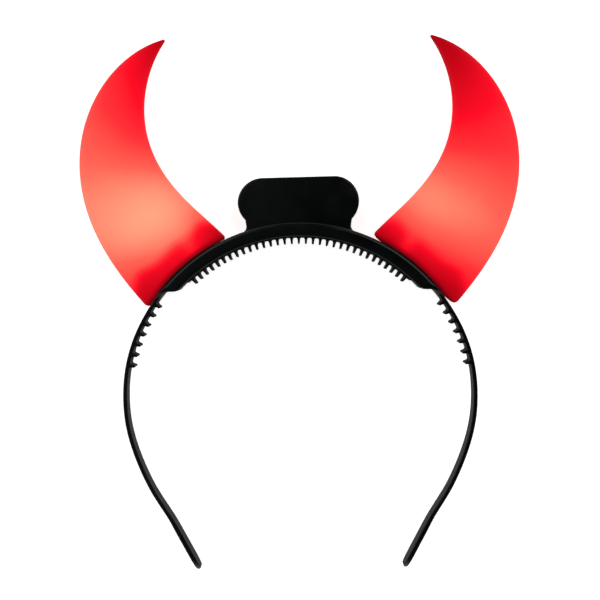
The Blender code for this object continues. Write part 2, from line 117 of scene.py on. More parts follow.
FLOOR_REACH = 6.0             # metres
FLOOR_GLOW = 0.77             # light from below, as a share of white
BLACK_SPECULAR = 0.2
ROOM_DARK = 0.02              # radiance overhead, on the right
ROOM_DIM = 0.17               # overhead, on the left
ROOM_PALE = 1.7               # at the horizon
ROOM_FLAG = 0.06              # share of that left by a black flag behind the crown
FLAG_EDGE = (0.16, 0.34)      # sideways share of a direction where the flag ends
CAMERA_AT = (0.4 * MM, 55.5 * MM, 576.5 * MM)       # in the band's plane
CAMERA_SHIFT = 0.0767         # the photo's framing: it looks past the object's middle
CAMERA_ROLL = 0.6             # degrees that the camera leans to the right
CAMERA_LENS = 90.0            # mm, on a 36 mm sensor

# Softboxes round the camera, aimed at the object. Columns: name, degrees off the vertical,
# degrees round it from the crown's direction, distance and width in metres, radiance.
SOFTBOXES = (
    ("box_left", 30.0, -50.0, 1.2, 0.5, 2.8),
    ("box_right", 30.0, 50.0, 1.2, 0.5, 3.6),
    ("box_low_left", 50.0, -140.0, 1.3, 0.7, 1.0),
    ("box_low_right", 50.0, 140.0, 1.3, 0.7, 1.0),
)


def to_linear(code):
    """Linear colour of an sRGB hex value."""
    values = [int(code[i:i + 2], 16) / 255 for i in (1, 3, 5)]
    return [v / 12.92 if v <= 0.04045 else ((v + 0.055) / 1.055) ** 2.4 for v in values]


def length(name, text, millimetres):
    """Property that holds a length, given in millimetres."""
    return bpy.props.FloatProperty(name=name, description=text, default=millimetres * MM,
                                   unit="LENGTH", precision=5)


def angle(name, text, degrees):
    """Property that holds an angle, given in degrees."""
    return bpy.props.FloatProperty(name=name, description=text, default=math.radians(degrees),
                                   subtype="ANGLE")


def colour(name, text, code):
    """Property that holds a colour, given as sRGB hex."""
    return bpy.props.FloatVectorProperty(name=name, description=text, default=to_linear(code),
                                         subtype="COLOR", min=0.0, max=1.0)


def amount(name, text, value):
    """Property that holds a plain number."""
    return bpy.props.FloatProperty(name=name, description=text, default=value)


class BandSizes(bpy.types.PropertyGroup):
    """Sizes of the headband's moulding."""

    radius: length("Radius", "Outer face of the band", 67.5)
    thickness: length("Thickness", "Thickness of the arms", 1.6)
    width: length("Width", "Arms, front to back", 10.0)
    spread: length("Spread", "How far the arms stand out at the ears", 0.4)
    spread_start: angle("Spread start", "Where the arms begin to stand out", 52.0)
    spread_end: angle("Spread end", "Where the arms are back on the arc", 98.0)
    tuck: length("Tuck", "How far the arms draw in below the ears", 0.7)
    tuck_start: angle("Tuck start", "Where the arms begin to draw in", 92.0)
    tuck_end: angle("Tuck end", "Where the arms are back on the arc again", 134.0)
    foot_angle: angle("Foot angle", "Where the foot turns out", 130.0)
    foot_turn: angle("Foot turn", "How far the foot turns out", 11.5)
    foot_length: length("Foot length", "Length of the foot", 24.8)
    foot_thickness: length("Foot thickness", "Thickness of the foot", 1.85)
    foot_thickening: length("Foot thickening", "Length over which the arm grows to that", 8.7)
    foot_width: length("Foot width", "Foot, front to back", 9.6)
    housing_depth: length("Housing depth", "Housing, front to back", 13.0)
    housing_height: length("Housing height", "Housing, inner to outer face", 5.2)
    housing_angle: angle("Housing angle", "Crown to the housing's inner end corner", 46.6)
    housing_drop: length("End drop", "The end face lies this far below that corner", 1.2)
    housing_edge: length("Edge radius", "Rounding of the housing's outer edges", 1.15)
    arm_edge: length("Arm edge radius", "Rounding of the arms' edges", 0.4)
    channel_width: length("Channel width", "Channel that the comb closes", 10.6)
    channel_angle: angle("Channel angle", "Crown to the channel's end", 43.6)
    channel_roof: length("Channel roof", "Wall over the channel", 1.9)


class ToothSizes(bpy.types.PropertyGroup):
    """Sizes of the comb's teeth and of those inside the arms."""

    strip_thickness: length("Strip thickness", "Comb strip in the channel's mouth", 1.5)
    strip_proud: length("Strip proud", "How far the strip stands out of the channel", 0.55)
    gap: length("Gap", "Clearance between strip and channel", 0.3)
    top_each_side: bpy.props.IntProperty(name="Top teeth", description="Teeth each side", default=16)
    top_pitch: angle("Top pitch", "Angle between two top teeth", 2.58)
    top_length: length("Top length", "Length of a top tooth", 2.4)
    top_root: length("Top root", "Width of a top tooth at its root", 1.1)
    top_tip: length("Top tip", "Width of a top tooth at its tip", 0.7)
    side_count: bpy.props.IntProperty(name="Side teeth", description="Teeth in each arm", default=7)
    side_start: angle("Side start", "Crown to the first side tooth", 56.3)
    side_end: angle("Side end", "Crown to the last side tooth", 78.2)
    side_length: length("Side length", "Length of a side tooth", 2.0)
    side_root: length("Side root", "Width of a side tooth at its root", 1.35)
    side_tip: length("Side tip", "Width of a side tooth at its tip", 0.8)
    flare: length("Flare", "How far a root spreads into its gullet", 0.32)
    edge: length("Edge", "Rounding of the teeth's edges", 0.22)


class TabSizes(bpy.types.PropertyGroup):
    """Sizes of the bare tab on the crown."""

    width: length("Width", "Across its round ends", 46.6)
    top: length("Top", "Height above the housing", 17.55)
    slant: length("Slant", "How much higher its right end stands than its left", 0.8)
    lobe: length("Lobe", "Radius of its round ends", 9.5)
    neck: length("Neck", "Width of its neck", 40.2)
    thickness: length("Thickness", "Front to back", 2.8)
    fillet: length("Fillet", "Fillet beside the neck", 2.4)
    edge: length("Edge", "Rounding of its rim", 0.55)


class HornSizes(bpy.types.PropertyGroup):
    """Sizes of the two horns."""

    angle: angle("Angle", "Crown to the middle of the base", 41.1)
    base: length("Base", "Chord across the base", 40.2)
    height: length("Height", "Tip above that chord", 75.8)
    seat_gap: length("Seat gap", "Clearance between horn and housing", 0.3)
    sink: length("Sink", "How far the chord's ends stand off the seat", 0.12)
    lift_left: length("Left lift", "How far the left horn stands off its seat", 0.0)
    lift_right: length("Right lift", "How far the right horn stands off its seat", 1.0)
    spread_left: length("Left spread", "Extra width of the left horn at its outer foot", 0.0)
    spread_right: length("Right spread", "Extra width of the right horn at its outer foot", 1.1)
    seat_depth: length("Seat depth", "Base, front to back", 12.0)
    belly_depth: length("Belly depth", "Thickest place, front to back", 18.0)
    tip_depth: length("Tip depth", "Tip, front to back", 1.8)
    belly_at: amount("Belly at", "Share of the way up where the belly is reached", 0.36)
    taper: amount("Taper", "The higher, the later the horn thins", 2.2)
    wall: length("Wall", "Thickness of the shell", 1.4)
    corner: length("Corner", "Rounding of the base's rim", 1.8)
    hollow_end: amount("Hollow end", "Share of the way up where the hollow stops", 0.8)


class Finish(bpy.types.PropertyGroup):
    """Colours of the plastics, of the glow and of the stage."""

    black: colour("Black plastic", "Moulded black of band and comb", "#030404")
    plug: colour("Plug plastic", "Duller black of the plugs", "#0D0D0E")
    resin: colour("Lamp resin", "Body of the lamps", "#F2C4B8")
    horn: colour("Horn plastic", "Red plastic by day", "#4A0008")
    # The glow colours are painted light and shade on the horn's shell, from the seat's rim to the lamp's
    # patch.
    glow_rim: colour("Rim", "Shell right at the seat", "#160003")
    glow_shade: colour("Shade", "Shell behind the plug and at the tip", "#BA000E")
    glow_red: colour("Red", "Shell far from the lamp", "#FC0A22")
    glow_vermilion: colour("Vermilion", "Shell on the way to the lamp", "#FE3236")
    glow_coral: colour("Coral", "Shell beside the lamp's patch", "#FF6454")
    glow_peach: colour("Peach", "Shell right over the lamp", "#FFA985")
    floor: colour("Floor", "Opal acrylic", "#F4F4F3")


GROUPS = {
    "headband_band": BandSizes,
    "headband_teeth": ToothSizes,
    "headband_tab": TabSizes,
    "headband_horns": HornSizes,
    "headband_finish": Finish,
}


def smoothstep(value, low, high):
    """Rises from 0 at low to 1 at high as 3t^2 - 2t^3."""
    share = np.clip((value - low) / (high - low), 0.0, 1.0)
    return share * share * (3.0 - 2.0 * share)


def smooth_max(one, other, blend):
    """Greater of two values, with the corner where they cross rounded over blend."""
    near = np.clip(1.0 - np.abs(one - other) / blend, 0.0, 1.0)
    return np.maximum(one, other) + near * near * blend / 4.0


def bell(value, middle, half_width):
    """1 at the middle, fading on both sides as exp(-d^2)."""
    return np.exp(-((value - middle) / half_width) ** 2)


def polar(radius, turn):
    """Points at an angle from the crown: (r sin a, r cos a), +X at positive angles."""
    return np.stack(np.broadcast_arrays(radius * np.sin(turn), radius * np.cos(turn)), axis=-1)


def along(turn):
    """Unit direction of rising angle: (cos a, -sin a)."""
    return np.stack([np.cos(turn), -np.sin(turn)], axis=-1)


def band_plane():
    """Origin and axes of the band's plane, from the tab_front mount.

    The mount's axis is the plane's normal n, X is the world's, and Y = n x X. The mount's
    point lies on the tab's front face, TAB_MOUNT_DROP below the tab's top edge.
    """
    mount = next(m for m in frame["record"]["mounts"] if m["name"] == "tab_front")
    normal = np.array(mount["axis"])
    upward = np.array([0.0, normal[2], -normal[1]])
    band = bpy.context.scene.headband_band
    tab = bpy.context.scene.headband_tab
    rise = band.radius + tab.top - TAB_MOUNT_DROP
    origin = np.array(mount["pos_m"]) - upward * rise - normal * tab.thickness / 2
    return origin, np.array([[1.0, 0.0, 0.0], upward, normal])


def lay(points):
    """Points of the band's plane in the world: origin + x X + y Y + z n."""
    origin, axes = band_plane()
    return np.asarray(points) @ axes + origin


def skin(grid):
    """Closed shell through the closed rows of a grid (rows, columns, 3), faces outward.

    Quads join each row to the next and a flat cap closes either end. The shell's volume,
    by the divergence theorem, is the sum of p0 . (p1 x p2 + p2 x p3) / 6 over its quads
    about its middle. Where that is negative, every face is turned over.
    """
    rows, columns = grid.shape[:2]
    points = grid.reshape(-1, 3)
    here = np.arange(columns)
    after = np.roll(here, -1)
    low = np.arange(rows - 1)[:, None] * columns
    quads = np.stack([low + here, low + after, low + columns + after, low + columns + here], axis=-1)
    quads = quads.reshape(-1, 4)
    caps = np.stack([here[::-1], here + (rows - 1) * columns])
    corner = (points - points.mean(axis=0))[quads]
    turned = np.cross(corner[:, 1], corner[:, 2]) + np.cross(corner[:, 2], corner[:, 3])
    if np.sum(corner[:, 0] * turned) < 0.0:
        quads, caps = quads[:, ::-1], caps[:, ::-1]
    return points, quads, caps


def add_piece(name, shells, material, replaced, sharp=38.0, glow=None):
    """Make one object of closed shells, laid in the world, riding on the root body."""
    counts = [len(points) for points, _, _ in shells]
    starts = np.cumsum([0] + counts[:-1])
    points = np.concatenate([shell[0] for shell in shells])
    quads = np.concatenate([shell[1] + start for shell, start in zip(shells, starts)])
    caps = np.concatenate([shell[2] + start for shell, start in zip(shells, starts)])
    mesh = bpy.data.meshes.new(name)
    mesh.from_pydata(lay(points).tolist(), [], quads.tolist() + caps.tolist())
    if glow is not None:
        mesh.attributes.new("glow", "FLOAT", "POINT").data.foreach_set("value", glow)
    work = bmesh.new()
    work.from_mesh(mesh)
    bmesh.ops.remove_doubles(work, verts=work.verts, dist=MERGE)
    work.to_mesh(mesh)
    work.free()
    mesh.shade_smooth()
    mesh.set_sharp_from_angle(angle=math.radians(sharp))
    mesh.materials.append(material)
    piece = bpy.data.objects.new(name, mesh)
    bpy.context.scene.collection.objects.link(piece)
    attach(piece, "root")
    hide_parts(replaced)
    return piece


def outline_normals(outline):
    """Outward unit normals of a closed outline, each the mean of its two edges' normals."""
    following = np.roll(outline, -1, axis=0)
    after = following - outline
    after /= np.linalg.norm(after, axis=1, keepdims=True)
    mean = after + np.roll(after, 1, axis=0)
    mean /= np.linalg.norm(mean, axis=1, keepdims=True)
    normals = np.stack([mean[:, 1], -mean[:, 0]], axis=1)
    area = np.sum(outline[:, 0] * following[:, 1] - outline[:, 1] * following[:, 0])
    return normals if area > 0.0 else -normals


def slab(outline, half_depth, edge, steps=4):
    """Flat outline given a depth, its rim rounded to a quarter circle front and back.

    Row at turn t of the rim: the outline moved inward by edge (1 - cos t), at a depth of
    half_depth - edge (1 - sin t). The back is the front's mirror image.
    """
    turns = np.linspace(0.0, math.pi / 2, steps + 1)
    inward = edge * (1.0 - np.cos(turns))
    depth = np.asarray(half_depth) * np.ones(len(outline))
    normals = outline_normals(outline)
    flat = outline[None] - normals[None] * inward[:, None, None]
    front = depth[None] - edge * (1.0 - np.sin(turns))[:, None]
    rows = np.concatenate([flat, front[..., None]], axis=2)
    back = rows[::-1] * np.array([1.0, 1.0, -1.0])
    return skin(np.concatenate([back, rows]))


def node(tree, kind, inputs=None, **settings):
    """Add a node, set its properties, and fill or link its inputs."""
    made = tree.nodes.new(kind)
    for key, value in settings.items():
        setattr(made, key, value)
    for key, value in (inputs or {}).items():
        if isinstance(value, bpy.types.Node):
            value = value.outputs[0]
        if isinstance(value, bpy.types.NodeSocket):
            tree.links.new(value, made.inputs[key])
        else:
            made.inputs[key].default_value = value
    return made


def new_material(name):
    """Empty node material, its tree and its Object coordinates."""
    material = bpy.data.materials.new(name)
    material.use_nodes = True
    tree = material.node_tree
    tree.nodes.clear()
    return material, tree, node(tree, "ShaderNodeTexCoord").outputs["Object"]


def moulded_black(name, base, face_gloss, side_gloss, waviness):
    """ABS, injection moulded in black.

    Faces square to the mould's draw copy its polish: nearly black, with a satin gloss, a
    fine orange peel about 0.7 mm across and broad sink waves some 8 mm across. Walls
    along the draw were dragged over the steel: they are matt, with marks 0.3 mm apart
    that run front to back. Handling leaves a little dust, which lifts the black.
    """
    material, tree, place = new_material(name)
    normal = node(tree, "ShaderNodeNewGeometry").outputs["Normal"]
    facing = node(tree, "ShaderNodeSeparateXYZ", {"Vector": normal})
    upright = node(tree, "ShaderNodeMath", {0: facing.outputs["Z"]}, operation="ABSOLUTE")
    side = node(tree, "ShaderNodeMapRange", {"Value": upright, "From Min": 0.75, "From Max": 0.3},
                interpolation_type="SMOOTHSTEP")
    cloud = node(tree, "ShaderNodeTexNoise", {"Vector": place, "Scale": 1.0 / (9.0 * MM), "Detail": 4.0})
    dust = node(tree, "ShaderNodeTexNoise", {"Vector": place, "Scale": 1.0 / (0.4 * MM), "Detail": 2.0})
    specks = node(tree, "ShaderNodeMapRange", {"Value": dust, "From Min": 0.62, "From Max": 0.8,
                                               "To Max": 0.35})
    tint = node(tree, "ShaderNodeMapRange", {**MOTTLE, "Value": cloud, "To Max": 0.5})
    worn = node(tree, "ShaderNodeMath", {0: specks, 1: tint}, operation="ADD")
    dusty = [v * 1.8 + 0.0004 for v in base]
    tone = node(tree, "ShaderNodeMix", {0: worn, 6: (*base, 1.0), 7: (*dusty, 1.0)}, data_type="RGBA")
    along_draw = node(tree, "ShaderNodeMapping", {"Vector": place, "Scale": (1.0, 1.0, 0.05)})
    drag = node(tree, "ShaderNodeTexNoise", {"Vector": along_draw, "Scale": 1.0 / (0.3 * MM), "Detail": 2.0})
    polish = node(tree, "ShaderNodeMapRange", {**MOTTLE, "Value": cloud, "To Min": face_gloss - 0.03,
                                               "To Max": face_gloss + 0.04})
    dull = node(tree, "ShaderNodeMapRange", {**MOTTLE, "Value": drag, "To Min": side_gloss - 0.06,
                                             "To Max": side_gloss + 0.06})
    rough = node(tree, "ShaderNodeMix", {0: side, 2: polish, 3: dull})
    wave = node(tree, "ShaderNodeTexNoise", {"Vector": place, "Scale": 1.0 / (8.0 * MM), "Detail": 1.0})
    peel = node(tree, "ShaderNodeTexNoise", {"Vector": place, "Scale": 1.0 / (0.7 * MM), "Detail": 2.0})
    low = node(tree, "ShaderNodeBump", {"Height": wave, "Strength": waviness, "Distance": 0.1 * MM})
    fine = node(tree, "ShaderNodeBump", {"Height": peel, "Strength": 0.15, "Distance": 0.008 * MM,
                                         "Normal": low})
    shader = node(tree, "ShaderNodeBsdfPrincipled",
                  {"Base Color": tone.outputs[2], "Roughness": rough, "Normal": fine,
                   "IOR": 1.5, "Specular IOR Level": BLACK_SPECULAR})
    node(tree, "ShaderNodeOutputMaterial", {"Surface": shader})
    return material


def lit_red_plastic(name, finish):
    """Polystyrene, translucent red, moulded thin and lit from inside.

    The wall scatters the lamp's light, so the shell itself seems to shine; here that light
    is painted into the emission: peach over the lamp, coral and red further off, painted
    shade where the plug stands behind it. The glow attribute says how much painted light
    each point gets, and the ramp turns that into colour.
    Its frosted surface has hardly any gloss, with a peel about 0.9 mm across.
    """
    material, tree, place = new_material(name)
    lit = node(tree, "ShaderNodeAttribute", attribute_name="glow")
    cloud = node(tree, "ShaderNodeTexNoise", {"Vector": place, "Scale": 1.0 / (14.0 * MM), "Detail": 3.0})
    uneven = node(tree, "ShaderNodeMapRange", {**MOTTLE, "Value": cloud, "To Min": -0.012,
                                               "To Max": 0.012})
    heat = node(tree, "ShaderNodeMath", {0: lit.outputs["Fac"], 1: uneven}, operation="ADD")
    ramp = node(tree, "ShaderNodeValToRGB", {"Fac": heat})
    stops = ((0.0, finish.glow_rim), (0.2, finish.glow_shade), (0.36, finish.glow_red),
             (0.5, finish.glow_vermilion), (0.7, finish.glow_coral), (1.0, finish.glow_peach))
    for i, (share, tint) in enumerate(stops):
        stop = ramp.color_ramp.elements[i] if i < 2 else ramp.color_ramp.elements.new(share)
        stop.position = share
        stop.color = (*tint, 1.0)
    peel = node(tree, "ShaderNodeTexNoise", {"Vector": place, "Scale": 1.0 / (0.9 * MM), "Detail": 2.0})
    wave = node(tree, "ShaderNodeTexNoise", {"Vector": place, "Scale": 1.0 / (11.0 * MM), "Detail": 2.0})
    low = node(tree, "ShaderNodeBump", {"Height": wave, "Strength": 0.25, "Distance": 0.15 * MM})
    fine = node(tree, "ShaderNodeBump", {"Height": peel, "Strength": 0.15, "Distance": 0.012 * MM,
                                         "Normal": low})
    rough = node(tree, "ShaderNodeMapRange", {**MOTTLE, "Value": cloud, "To Min": 0.64, "To Max": 0.76})
    deep = [v * 0.75 for v in finish.horn]
    tone = node(tree, "ShaderNodeMix", {0: wave, 6: (*finish.horn, 1.0), 7: (*deep, 1.0)},
                data_type="RGBA")
    shader = node(tree, "ShaderNodeBsdfPrincipled",
                  {"Base Color": tone.outputs[2], "Roughness": rough, "Normal": fine, "IOR": 1.5,
                   "Specular IOR Level": 0.03, "Emission Color": ramp, "Emission Strength": 1.0})
    node(tree, "ShaderNodeOutputMaterial", {"Surface": shader})
    return material


def lamp_resin(name, finish):
    """Epoxy, cast round a small lamp: clear, glossy and shining."""
    material, tree, place = new_material(name)
    cloud = node(tree, "ShaderNodeTexNoise", {"Vector": place, "Scale": 1.0 / (1.5 * MM), "Detail": 3.0})
    rough = node(tree, "ShaderNodeMapRange", {**MOTTLE, "Value": cloud, "To Min": 0.08, "To Max": 0.16})
    tone = node(tree, "ShaderNodeMix", {0: cloud, 6: (*finish.resin, 1.0), 7: (*finish.glow_peach, 1.0)},
                data_type="RGBA")
    shader = node(tree, "ShaderNodeBsdfPrincipled",
                  {"Base Color": tone.outputs[2], "Roughness": rough, "IOR": 1.54,
                   "Emission Color": (*finish.glow_peach, 1.0), "Emission Strength": 3.0})
    node(tree, "ShaderNodeOutputMaterial", {"Surface": shader})
    return material


def opal_acrylic(name, tint):
    """Acrylic, opal and matt, lit from below like a product table, with a faint mottle."""
    material, tree, place = new_material(name)
    cloud = node(tree, "ShaderNodeTexNoise", {"Vector": place, "Scale": 1.0 / (60.0 * MM), "Detail": 3.0})
    grey = [v * 0.985 for v in tint]
    tone = node(tree, "ShaderNodeMix", {0: cloud, 6: (*tint, 1.0), 7: (*grey, 1.0)}, data_type="RGBA")
    shader = node(tree, "ShaderNodeBsdfPrincipled",
                  {"Base Color": tone.outputs[2], "Roughness": 0.95, "Specular IOR Level": 0.2,
                   "Emission Color": (*tint, 1.0), "Emission Strength": FLOOR_GLOW})
    node(tree, "ShaderNodeOutputMaterial", {"Surface": shader})
    return material


def housing_floor(band):
    """Height of the housing's flat end face in the band's plane."""
    inner = band.radius - band.housing_height
    return inner * math.cos(band.housing_angle) - band.housing_drop


def hump(turn, start, end):
    """sin^2 of half a turn between two angles: 0 at both, 1 in the middle."""
    return np.sin(math.pi * np.clip((turn - start) / (end - start), 0.0, 1.0)) ** 2


def outer_radius(band, turn):
    """Outer face: the band's radius, plus a hump at the ears, less another below them."""
    spread = band.spread * hump(turn, band.spread_start, band.spread_end)
    return band.radius + spread - band.tuck * hump(turn, band.tuck_start, band.tuck_end)


def inner_radius(band, turn):
    """Inner face: the housing's radius, then its flat end at y = floor, whose radius is
    floor / cos a, then the arm's, with both corners rounded."""
    housing = band.radius - band.housing_height
    arm = outer_radius(band, turn) - band.thickness
    end_face = housing_floor(band) / np.cos(np.minimum(turn, PAST_HOUSING))
    flat_end = np.where(turn < PAST_HOUSING, end_face, 1.0)
    return -smooth_max(-arm, -smooth_max(housing, flat_end, END_FACE_CORNER), ARM_CORNER)


def band_stations(band):
    """Middle, unit normal and half thickness of the band at places from crown to foot.

    Down to the foot they lie on the arc. The foot is a straight run turned outward, whose
    half thickness grows by a smoothstep and ends in a half circle. The bend between arc
    and foot is eased by averaging neighbouring places.
    """
    degrees = np.concatenate([np.linspace(0.0, 43.5, 60), np.linspace(43.55, 43.65, 3),
                              np.linspace(43.9, 53.0, 70), np.linspace(53.8, 127.0, 96)])
    turn = np.radians(degrees)
    outer = outer_radius(band, turn)
    inner = inner_radius(band, turn)
    middle = polar((outer + inner) / 2, turn)
    normal = polar(1.0, turn)
    half = (outer - inner) / 2
    facing = band.foot_angle - band.foot_turn
    start = polar(outer_radius(band, band.foot_angle) - band.thickness / 2, band.foot_angle)
    thick = band.foot_thickness / 2
    run = np.concatenate([np.linspace(1.5 * MM, band.foot_length - thick, 40),
                          band.foot_length - thick * (1.0 - np.sin(np.linspace(0.1, 1.5, 9)))])
    foot_middle = start + along(facing) * run[:, None]
    foot_normal = np.broadcast_to(polar(1.0, facing), foot_middle.shape)
    grown = band.thickness / 2 + (thick - band.thickness / 2) * smoothstep(run, 0.0, band.foot_thickening)
    past = np.clip((run - band.foot_length + thick) / thick, 0.0, 1.0)
    foot_half = grown * np.sqrt(1.0 - past ** 2)
    bend = len(turn)
    middle = ease(np.concatenate([middle, foot_middle]), bend, BEND_REACH)
    normal = ease(np.concatenate([normal, foot_normal]), bend, BEND_REACH)
    normal /= np.linalg.norm(normal, axis=1, keepdims=True)
    return middle, normal, np.concatenate([half, foot_half])


def ease(values, at, reach, times=12):
    """Replace rows near one place by the mean of their neighbours, several times over."""
    values = values.copy()
    window = slice(at - reach, at + reach)
    for _ in range(times):
        before = values[at - reach - 1:at + reach - 1]
        after = values[at - reach + 1:at + reach + 1]
        values[window] = (before + 2.0 * values[window] + after) / 4.0
    return values


def half_depth(band, height):
    """Half of the band's front-to-back depth by height in its plane.

    It is the housing's above the end face, eases to the arm's just below it, narrows
    evenly to the foot, and closes the foot's end in a half circle.
    """
    top = housing_floor(band)
    low = top - (band.housing_depth - band.width)
    foot = band.radius * math.cos(band.foot_angle)
    end = foot - band.foot_length * math.sin(band.foot_angle - band.foot_turn)
    places = [end + band.foot_width / 2, low]
    arm = np.interp(height, places, [band.foot_width / 2, band.width / 2])
    arm = arm + (band.housing_depth / 2 - arm) * smoothstep(height, low, top + SIDE_RUN)
    below = np.clip((places[0] - height) / (band.foot_width / 2), 0.0, 0.9995)
    return arm * np.sqrt(1.0 - below ** 2)


def band_section(band, thickness, has_channel):
    """Half section of the band, front side: depths below the outer face, and edge drops.

    The first two results have a row for each point of the section, from the rounded outer
    edge over the front face to the rounded inner edge: how deep it lies, and how far it
    drops from the front face. The third is the depth of the channel's roof.
    """
    one = np.ones_like(thickness)
    outer = np.where(thickness > HOUSING_AT_LEAST, band.housing_edge, band.arm_edge)
    outer = band.arm_edge + (outer - band.arm_edge) * smoothstep(thickness, *EDGE_GROWS)
    outer = np.minimum(outer, EDGE_SHARE * thickness)
    inner = np.minimum(band.arm_edge, EDGE_SHARE * thickness)
    columns = []
    for turn in np.linspace(0.0, math.pi / 2, 9):
        columns.append((outer * (1.0 - math.cos(turn)), outer * (1.0 - math.sin(turn))))
    columns.append((thickness / 2, 0.0 * one))
    for turn in np.linspace(0.0, math.pi / 2, 6):
        columns.append((thickness - inner * (1.0 - math.sin(turn)), inner * (1.0 - math.cos(turn))))
    roof = np.where(has_channel, band.channel_roof, thickness)
    return np.array([c[0] for c in columns]), np.array([c[1] for c in columns]), roof


def band_grid(band):
    """Closed section of the band carried from foot to foot.

    A point is middle + normal (half - depth), at plus or minus the half depth that its
    height gives, less its drop from the edge. The two halves are mirror images.
    """
    middle, normal, half = band_stations(band)
    crown_angle = np.arctan2(middle[:, 0], middle[:, 1])
    has_channel = crown_angle < band.channel_angle
    depth, drop, roof = band_section(band, 2.0 * half, has_channel)

    def flat(level):
        return middle + normal * (half - level)[:, None]

    def at(level, side, inside):
        point = flat(level)
        z = side * np.maximum(half_depth(band, point[:, 1]) - inside, 0.0)
        return np.concatenate([point, z[:, None]], axis=1)

    def at_channel(level, share):
        point = flat(level)
        room = CHANNEL_SHARE * half_depth(band, point[:, 1])
        width = share * np.minimum(band.channel_width / 2, room)
        width = np.where(has_channel, share * band.channel_width / 2, width)
        return np.concatenate([point, width[:, None]], axis=1)

    front = [at(d, 1.0, e) for d, e in zip(depth, drop)]
    back = [at(d, -1.0, e) for d, e in zip(depth, drop)]
    face = 2.0 * half
    corners = ((face, 1.0), (roof, 1.0), (roof, -1.0), (face, -1.0))
    channel = [at_channel(level, share) for level, share in corners]
    top = at(0.0 * half, 0.0, 0.0 * half)
    rows = np.stack([top] + front + channel + back[::-1], axis=1)
    mirrored = rows[:0:-1] * np.array([-1.0, 1.0, 1.0])
    return np.concatenate([mirrored, rows])


def tooth_outline(long, root, tip, flare, embed):
    """Closed outline of a tooth as (across, down): a taper from root to tip with a round end.

    Half width at a depth d is root/2 + (tip - root)/2 d/long, plus a flare that fades as
    (1 - d/fade)^2, times the round end's sqrt(1 - e^2).
    """
    fade = 2.2 * flare
    round_end = 0.55 * tip
    gullet = np.linspace(0.0, fade, 7)
    shank = np.linspace(fade, long - round_end, 4)[1:]
    end = long - round_end * (1.0 - np.sin(np.linspace(0.25, 1.5, 6)))
    down = np.concatenate([[-embed] if embed else [], gullet, shank, end])
    taper = root / 2 + (tip - root) / 2 * np.clip(down / long, 0.0, 1.0)
    spread_out = flare * np.clip(1.0 - np.maximum(down, 0.0) / fade, 0.0, 1.0) ** 2
    past = np.clip((down - long + round_end) / round_end, 0.0, 1.0)
    half = (taper + spread_out) * np.sqrt(1.0 - past ** 2)
    left = np.stack([-half, down], axis=1)
    right = np.stack([half, down], axis=1)[::-1]
    return np.concatenate([left, right])


def turned_in(shape, radius, turn):
    """Tooth outline (across, down) placed at an angle, aiming at the arc's centre."""
    return polar(1.0, turn) * (radius - shape[:, 1:]) + along(turn) * shape[:, :1]


def without_repeats(outline):
    """Outline without the points that lie on the one before them."""
    step = np.linalg.norm(outline - np.roll(outline, 1, axis=0), axis=1)
    return outline[step > 2.0 * MERGE]


def comb_outline(band, teeth):
    """Strip's outline with its row of teeth on the head side, at equal angles."""
    under = band.radius - band.housing_height - teeth.strip_proud
    reach = band.channel_angle - teeth.gap / under
    shape = tooth_outline(teeth.top_length, teeth.top_root, teeth.top_tip, teeth.flare, 0.0)
    turns = np.arange(-teeth.top_each_side, teeth.top_each_side + 1) * teeth.top_pitch
    rows = [turned_in(shape, under, turn) for turn in turns]
    ends = [polar(under, np.array([-reach])), polar(under, np.array([reach]))]
    back = polar(under + teeth.strip_thickness, np.linspace(reach, -reach, 90))
    return without_repeats(np.concatenate([ends[0]] + rows + [ends[1], back]))


def tab_outline(band, tab):
    """Bare tab: a flat top, two round ends and a neck that flares into the housing's roof."""
    top = band.radius + tab.top
    lobe = np.array([tab.width / 2 - tab.lobe, top - tab.lobe])
    meeting = math.acos(min(1.0, (tab.neck / 2 - lobe[0]) / tab.lobe))
    round_end = lobe + polar(tab.lobe, np.linspace(0.0, math.pi / 2 + 0.94 * meeting, 40))
    fillet_x = tab.neck / 2 + tab.fillet
    fillet_y = math.sqrt((band.radius + tab.fillet) ** 2 - fillet_x ** 2)
    touch = math.atan2(fillet_x, fillet_y)
    turns = np.linspace(-math.pi / 2, touch - math.pi, 14)
    neck = np.array([fillet_x, fillet_y]) + polar(tab.fillet, turns)
    root = polar(band.radius - band.channel_roof / 2, np.linspace(touch, 0.0, 24))[:-1]
    half = np.concatenate([round_end, neck, root])
    outline = without_repeats(np.concatenate([half, half[::-1] * np.array([-1.0, 1.0])]))
    height = np.maximum(outline[:, 1] - band.radius, 0.0)
    outline[:, 1] += tab.slant * outline[:, 0] / tab.width * height / tab.top
    return outline


def bezier(points, share):
    """Bezier curve: control points weighted by Bernstein polynomials of the share."""
    degree = len(points) - 1
    share = np.asarray(share)[..., None]
    terms = [math.comb(degree, i) * share ** i * (1.0 - share) ** (degree - i) * np.array(point)
             for i, point in enumerate(points)]
    return sum(terms)


def seat_height(band, horns, side):
    """Distance of the base's chord from the arc's centre."""
    seat = band.radius + horns.seat_gap
    return math.sqrt(seat ** 2 - (horns.base / 2) ** 2) + horns.sink + getattr(horns, "lift_" + side)


